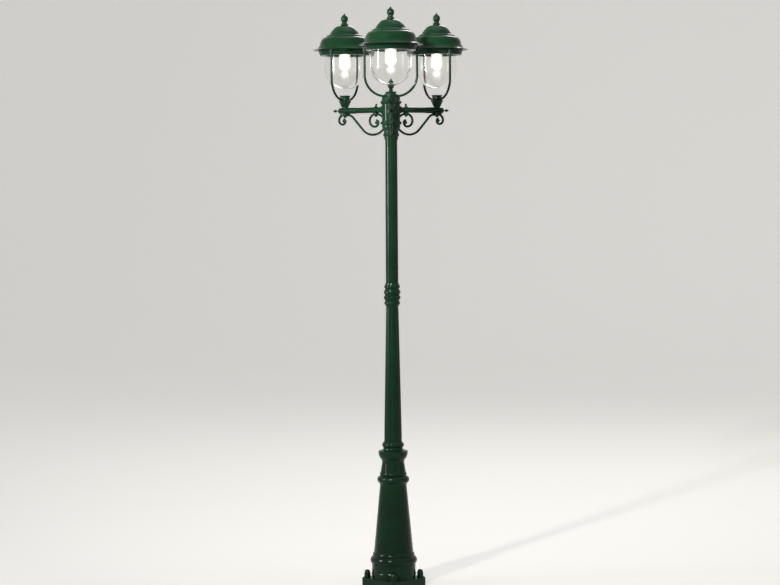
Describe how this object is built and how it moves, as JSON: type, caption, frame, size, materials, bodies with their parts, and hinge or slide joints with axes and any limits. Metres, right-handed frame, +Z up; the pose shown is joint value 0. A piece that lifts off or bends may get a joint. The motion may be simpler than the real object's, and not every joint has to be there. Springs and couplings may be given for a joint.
{
  "type": "three-headed garden lamp post",
  "caption": "Tall tapering garden lamp post with scrolled arms that carry round lanterns with domed roofs and clear glass jars.",
  "frame": {"origin": "centre of the anchor circle on the foot's underside, on the post's axis", "axes": "+Z up along the post, -Y towards the front lamp, +X to the right as seen from the front"},
  "size_m": [0.5998, 0.552, 2.214],
  "materials": {
    "green_paint": "gloss",
    "steel_tube": "satin",
    "terminal_plastic": "matte",
    "clear_glass": "gloss",
    "gasket_rubber": "matte",
    "holder_plastic": "satin",
    "cap_metal": "satin",
    "bulb_glass": "gloss"
  },
  "bodies": {
    "post": {"base_casting": "green_paint", "anchor_washers": "green_paint", "anchor_nuts": "green_paint", "lower_column": "green_paint", "joint_collar": "green_paint", "joint_sleeve": "steel_tube", "upper_column": "green_paint", "hub_casting": "green_paint", "hub_cap": "green_paint", "terminal_block": "terminal_plastic", "scroll_screws": "green_paint", "gallery_screws": "green_paint", "arm_front": "green_paint", "arm_tip_front": "green_paint", "big_scroll_front": "green_paint", "small_scroll_front": "green_paint", "scroll_clamp_front": "green_paint", "cup_front": "green_paint", "yoke_front": "green_paint", "gallery_front": "green_paint", "glass_front": "clear_glass", "gasket_front": "gasket_rubber", "arm_right": "green_paint", "arm_tip_right": "green_paint", "big_scroll_right": "green_paint", "small_scroll_right": "green_paint", "scroll_clamp_right": "green_paint", "cup_right": "green_paint", "yoke_right": "green_paint", "gallery_right": "green_paint", "glass_right": "clear_glass", "gasket_right": "gasket_rubber", "arm_left": "green_paint", "arm_tip_left": "green_paint", "big_scroll_left": "green_paint", "small_scroll_left": "green_paint", "scroll_clamp_left": "green_paint", "cup_left": "green_paint", "yoke_left": "green_paint", "gallery_left": "green_paint", "glass_left": "clear_glass", "gasket_left": "gasket_rubber"},
    "roof_of_front": {"roof_front": "green_paint", "roof_finial_front": "green_paint", "lamp_holder_front": "holder_plastic"},
    "bulb_of_front": {"bulb_cap_front": "cap_metal", "bulb_envelope_front": "bulb_glass"},
    "roof_of_right": {"roof_right": "green_paint", "roof_finial_right": "green_paint", "lamp_holder_right": "holder_plastic"},
    "bulb_of_right": {"bulb_cap_right": "cap_metal", "bulb_envelope_right": "bulb_glass"},
    "roof_of_left": {"roof_left": "green_paint", "roof_finial_left": "green_paint", "lamp_holder_left": "holder_plastic"},
    "bulb_of_left": {"bulb_cap_left": "cap_metal", "bulb_envelope_left": "bulb_glass"}
  },
  "joints": [
    {"name": "roof_lift_front", "type": "slide", "parent": "post", "child": "roof_of_front", "axis": [0, 0, 1], "range_m": [0, 0.15]},
    {"name": "bulb_turn_front", "type": "hinge", "parent": "roof_of_front", "child": "bulb_of_front", "pos_m": [0, -0.206, 2.098], "axis": [0, 0, -1], "range_deg": [0, 900]},
    {"name": "roof_lift_right", "type": "slide", "parent": "post", "child": "roof_of_right", "axis": [0, 0, 1], "range_m": [0, 0.15]},
    {"name": "bulb_turn_right", "type": "hinge", "parent": "roof_of_right", "child": "bulb_of_right", "pos_m": [0.1784, 0.103, 2.098], "axis": [0, 0, -1], "range_deg": [0, 900]},
    {"name": "roof_lift_left", "type": "slide", "parent": "post", "child": "roof_of_left", "axis": [0, 0, 1], "range_m": [0, 0.15]},
    {"name": "bulb_turn_left", "type": "hinge", "parent": "roof_of_left", "child": "bulb_of_left", "pos_m": [-0.1784, 0.103, 2.098], "axis": [0, 0, -1], "range_deg": [0, 900]}
  ]
}
